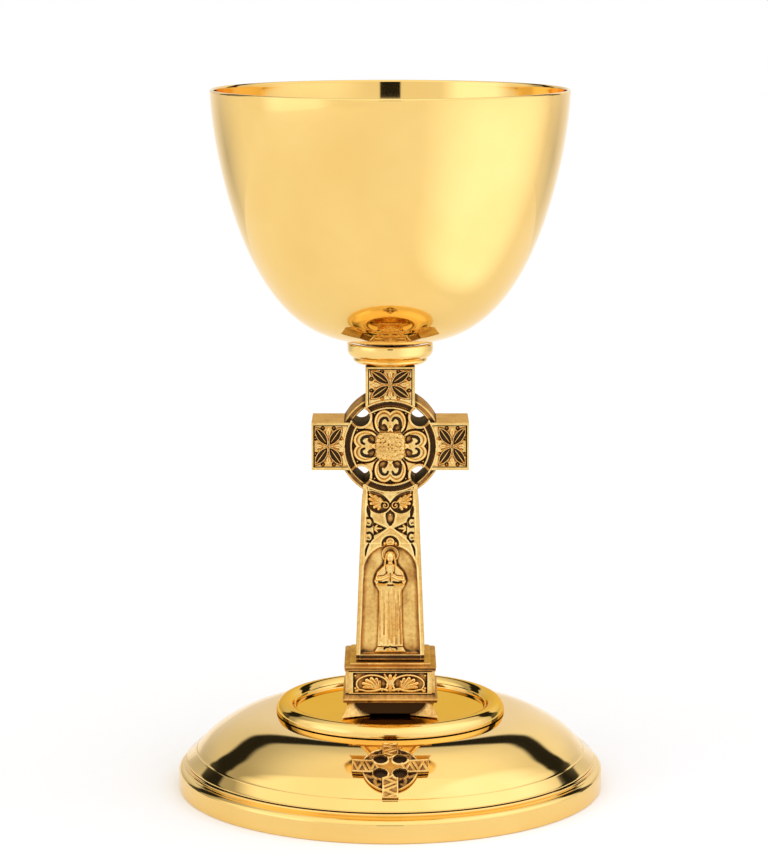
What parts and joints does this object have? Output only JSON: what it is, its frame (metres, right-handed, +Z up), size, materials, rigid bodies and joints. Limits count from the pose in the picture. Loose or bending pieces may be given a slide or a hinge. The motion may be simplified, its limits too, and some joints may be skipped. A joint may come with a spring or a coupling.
{
  "type": "communion chalice",
  "caption": "Gilt chalice: deep polished cup on a ringed high-cross stem, square footed pedestal and domed round foot; the cup unscrews",
  "frame": {"origin": "centre of the foot's underside, on the bottom of the bounding box", "axes": "+Z up along the stem from foot to lip; the emblem and decorated front face -Y; +X to the right as seen from the front"},
  "size_m": [0.1354, 0.1354, 0.222],
  "materials": {
    "cup_bowl": "mirror-polished gilt",
    "cup_boss": "plain gilt, brazed under the bowl",
    "seat_washer": "bare washer",
    "neck_collar": "polished gilt",
    "cross_shaft": "antique gilt relief casting with darkened recesses",
    "rosette_front": "antique gilt",
    "rosette_back": "antique gilt",
    "pedestal_cap": "antique gilt",
    "pedestal_die": "antique gilt relief with darkened recesses",
    "pedestal_plinth": "antique gilt",
    "foot_pan": "mirror-polished gilt",
    "foot_dome": "mirror-polished gilt spinning",
    "foot_rim": "mirror-polished gilt",
    "emblem_cross": "antique gilt relief casting",
    "emblem_stud_left": "bare",
    "emblem_stud_right": "bare",
    "emblem_nut_left": "bare",
    "emblem_nut_right": "bare",
    "tie_rod": "bare threaded rod",
    "spreader_washer": "bare",
    "lock_washer": "bare",
    "tie_nut": "bare",
    "dowel_left": "bare",
    "dowel_right": "bare",
    "plinth_pin_left": "bare",
    "plinth_pin_right": "bare"
  },
  "bodies": {
    "stem": {"neck_collar": "neck_collar", "cross_shaft": "cross_shaft", "rosette_front": "rosette_front", "rosette_back": "rosette_back", "pedestal_cap": "pedestal_cap", "pedestal_die": "pedestal_die", "pedestal_plinth": "pedestal_plinth", "foot_pan": "foot_pan", "foot_dome": "foot_dome", "foot_rim": "foot_rim", "emblem_cross": "emblem_cross", "emblem_stud_left": "emblem_stud_left", "emblem_stud_right": "emblem_stud_right", "emblem_nut_left": "emblem_nut_left", "emblem_nut_right": "emblem_nut_right", "tie_rod": "tie_rod", "spreader_washer": "spreader_washer", "lock_washer": "lock_washer", "tie_nut": "tie_nut", "dowel_left": "dowel_left", "dowel_right": "dowel_right", "plinth_pin_left": "plinth_pin_left", "plinth_pin_right": "plinth_pin_right"},
    "seat": {"seat_washer": "seat_washer"},
    "cup": {"cup_bowl": "cup_bowl", "cup_boss": "cup_boss"}
  },
  "joints": [
    {"name": "cup_rise", "type": "slide", "parent": "stem", "child": "seat", "axis": [0, 0, 1], "range_m": [0, 0.008]},
    {"name": "cup_turn", "type": "hinge", "parent": "seat", "child": "cup", "pos_m": [0, 0, 0.1425], "axis": [0, 0, 1], "range_deg": [0, 2880]}
  ],
  "couplings": [
    {"joint": "cup_rise", "follows": "cup_turn", "m_per_rad": 0.00015915}
  ]
}
